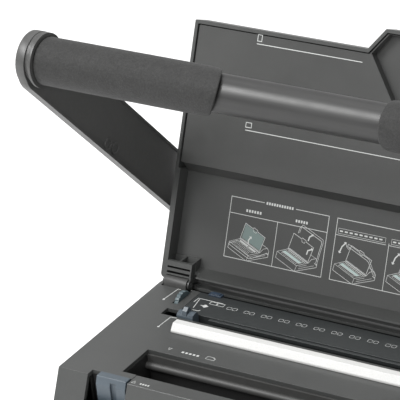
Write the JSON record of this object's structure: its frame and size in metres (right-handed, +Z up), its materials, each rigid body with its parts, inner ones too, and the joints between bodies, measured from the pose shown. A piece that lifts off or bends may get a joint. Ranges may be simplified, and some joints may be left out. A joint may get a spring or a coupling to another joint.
{
  "type": "comb binding machine",
  "caption": "Manual comb punch and binder: sloping deck with throat and comb groove, hinged lid, and a full-width U handle with foam grips.",
  "frame": {"origin": "centre of the footprint of the bounding box, on the table", "axes": "+Z up, front of the machine towards -Y, +X to the operator's right"},
  "size_m": [0.4176, 0.318, 0.3268],
  "materials": {
    "deck_plastic": "satin, fine texture",
    "base_plastic": "satin",
    "panel_plastic": "satin",
    "lid_plastic": "satin",
    "lid_panel_plastic": "satin",
    "black_plastic": "satin",
    "arm_plastic": "satin",
    "foam": "matte",
    "tube_metal": "satin",
    "steel": "brushed",
    "screw_steel": "plain",
    "bush_plastic": "plain",
    "white_plastic": "satin",
    "foot_rubber": "matte",
    "blue_plastic": "satin",
    "wheel_plastic": "satin",
    "guide_plastic": "satin"
  },
  "bodies": {
    "base": {"base_tray": "base_plastic", "top_cover": "deck_plastic", "rear_cover": "deck_plastic", "side_frame_left": "steel", "side_frame_right": "steel", "shaft_bushes": "bush_plastic", "tie_rods": "steel", "die_plate": "steel", "guide_plate": "steel", "throat_floor": "steel", "die_panel": "panel_plastic", "comb_strip": "white_plastic", "groove_tray": "black_plastic", "recess_liner": "black_plastic", "recess_roller": "black_plastic", "hinge_brackets": "black_plastic", "hinge_pins": "steel", "wheel_bracket": "black_plastic", "latch_pocket": "black_plastic", "feet": "foot_rubber", "tray_screws": "screw_steel"},
    "lid": {"lid_shell": "lid_plastic", "lid_panel": "lid_panel_plastic"},
    "handle": {"handle_shaft": "steel", "arm_left": "arm_plastic", "arm_right": "arm_plastic", "pivot_caps": "black_plastic", "crossbar_tube": "tube_metal", "grip_left": "foam", "grip_right": "foam", "punch_pinions": "steel", "hook_pinions": "steel"},
    "punch": {"punch_bar": "steel", "punch_pins": "steel", "punch_racks": "steel"},
    "hooks": {"hook_rail": "steel", "hook_racks": "steel"},
    "drawer": {"chip_tray": "black_plastic", "drawer_front": "deck_plastic"},
    "latch": {"latch_slider": "blue_plastic"},
    "wheel": {"margin_wheel": "wheel_plastic"},
    "guide": {"edge_guide": "guide_plastic"},
    "stop": {"comb_stop": "blue_plastic"}
  },
  "joints": [
    {"name": "lid_hinge", "type": "hinge", "parent": "base", "child": "lid", "pos_m": [0, -0.004, 0.1057], "axis": [1, 0, 0], "range_deg": [0, 114]},
    {"name": "handle_pivot", "type": "hinge", "parent": "base", "child": "handle", "pos_m": [0, 0.1106, 0.0956], "axis": [1, 0, 0], "range_deg": [-50, 47]},
    {"name": "punch_slide", "type": "slide", "parent": "base", "child": "punch", "axis": [0, -0.9577, 0.2877], "range_m": [-0.0092, 0.0087]},
    {"name": "hook_slide", "type": "slide", "parent": "base", "child": "hooks", "axis": [0, 0.9903, 0.1392], "range_m": [-0.0066, 0.0062]},
    {"name": "drawer_slide", "type": "slide", "parent": "base", "child": "drawer", "axis": [0, 1, 0], "range_m": [-0.11, 0]},
    {"name": "latch_slide", "type": "slide", "parent": "base", "child": "latch", "axis": [1, 0, 0], "range_m": [-0.006, 0]},
    {"name": "margin_wheel_turn", "type": "hinge", "parent": "base", "child": "wheel", "pos_m": [-0.1677, -0.01739, 0.09664], "axis": [1, 0, 0], "range_deg": [-40, 40]},
    {"name": "edge_guide_slide", "type": "slide", "parent": "base", "child": "guide", "axis": [1, 0, 0], "range_m": [-0.01, 0.045]},
    {"name": "comb_stop_slide", "type": "slide", "parent": "base", "child": "stop", "axis": [1, 0, 0], "range_m": [-0.012, 0.008]}
  ],
  "couplings": [
    {"joint": "punch_slide", "follows": "handle_pivot", "m_per_rad": 0.0105},
    {"joint": "hook_slide", "follows": "handle_pivot", "m_per_rad": 0.0075}
  ]
}
